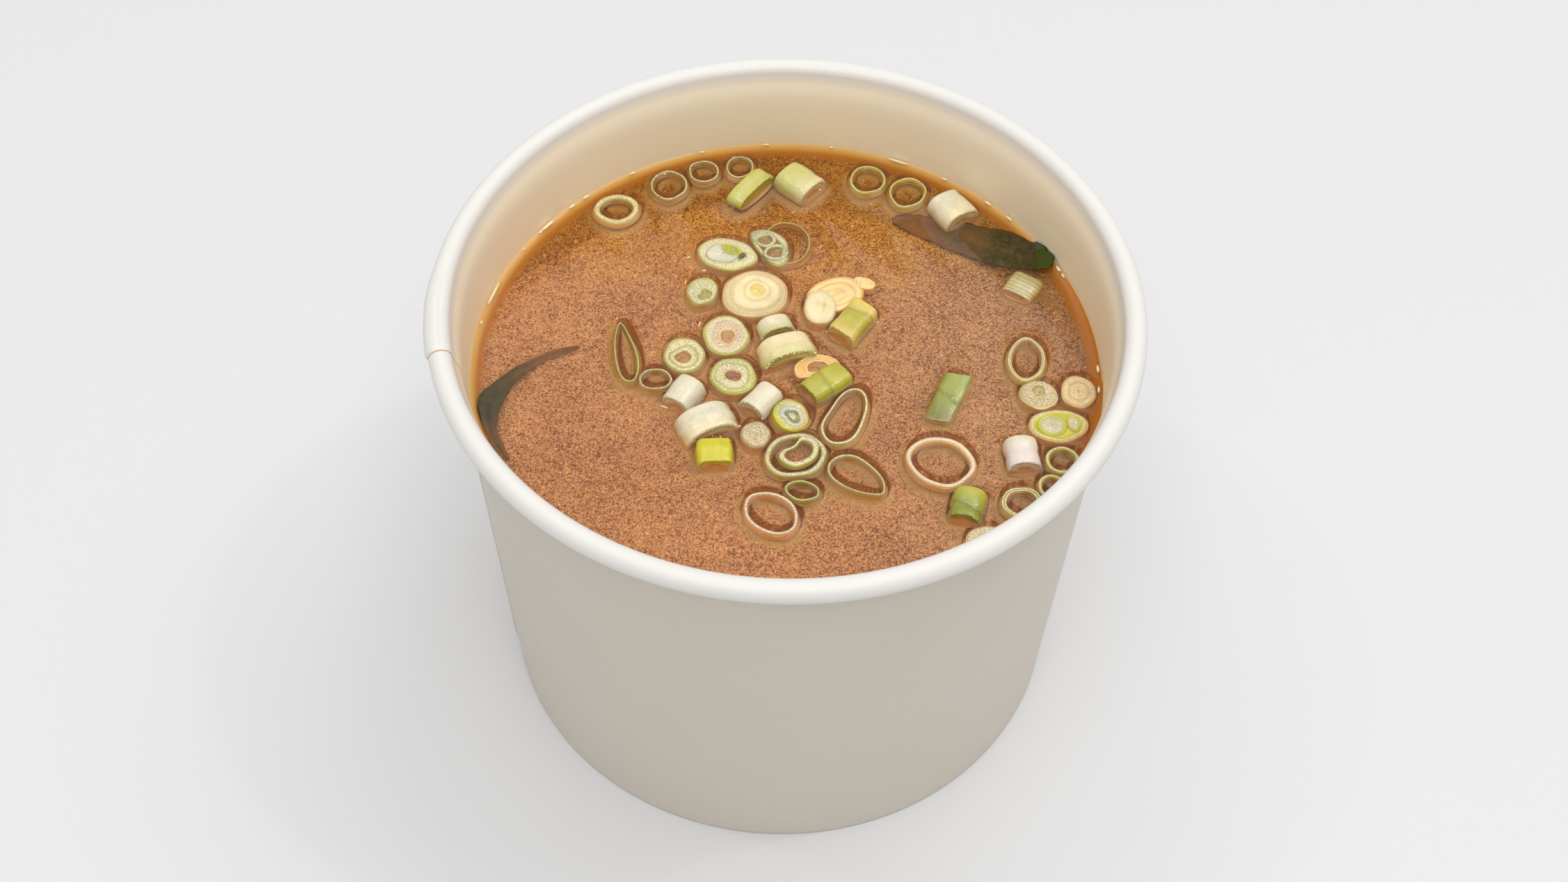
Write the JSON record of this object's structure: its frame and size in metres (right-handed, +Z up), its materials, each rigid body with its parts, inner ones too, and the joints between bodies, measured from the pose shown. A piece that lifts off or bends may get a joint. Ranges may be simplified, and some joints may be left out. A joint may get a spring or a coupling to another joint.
{
  "type": "miso soup",
  "caption": "Miso soup in a round white paper take-away cup, with sliced spring onion and wakame afloat.",
  "frame": {"origin": "middle of the cup's foot, on the plane the folded skirt stands on", "axes": "+Z up out of the cup's mouth, -Y towards the viewer's side; the sidewall's lap shows on the rim near -X"},
  "size_m": [0.0978, 0.0976, 0.0734],
  "materials": {
    "paper": "smooth, lightly coated",
    "broth": "wet, cloudy brown-orange",
    "wakame": "wet, dark olive",
    "white_onion": "wet cream",
    "green_onion": "wet yellow-green"
  },
  "bodies": {
    "root": {"cup_wall": "paper", "cup_base": "paper", "soup": "broth", "wakame_right": "wakame", "wakame_left": "wakame", "ring_back_1": "white_onion", "ring_back_2": "green_onion", "ring_back_3": "green_onion", "ring_back_4": "white_onion", "ring_back_5": "green_onion", "ring_back_6": "green_onion", "disc_curl": "green_onion", "disc_two_lobes": "green_onion", "disc_crescent": "green_onion", "disc_cream_wide": "white_onion", "disc_cream_oval": "white_onion", "disc_amber_hole": "green_onion", "disc_two_layers": "green_onion", "disc_green_edge": "green_onion", "ring_dark_small": "green_onion", "ring_leaf_flat": "green_onion", "disc_beige": "white_onion", "disc_frothy": "green_onion", "ring_bean": "green_onion", "disc_heart": "green_onion", "ring_green_small": "green_onion", "ring_pinkish": "white_onion", "ring_leaf_point": "green_onion", "ring_right_oval": "green_onion", "disc_right_hole": "white_onion", "disc_right_cap": "white_onion", "disc_two_chambers": "green_onion", "ring_wide": "white_onion", "ring_right_hidden": "green_onion", "ring_right_green": "green_onion", "ring_right_frothy": "green_onion", "disc_rim_pink": "white_onion", "chunk_back_green": "green_onion", "chunk_back_pale": "white_onion", "chunk_back_white": "white_onion", "chunk_middle_pale": "white_onion", "chunk_middle_wide": "green_onion", "chunk_square": "green_onion", "chunk_split": "green_onion", "chunk_left_white": "white_onion", "chunk_front_white": "white_onion", "chunk_inner_white": "white_onion", "chunk_vivid": "green_onion", "chunk_right_white": "white_onion", "chunk_right_green": "green_onion", "chunk_ribbed": "white_onion", "leaf_fold": "green_onion"}
  },
  "joints": []
}
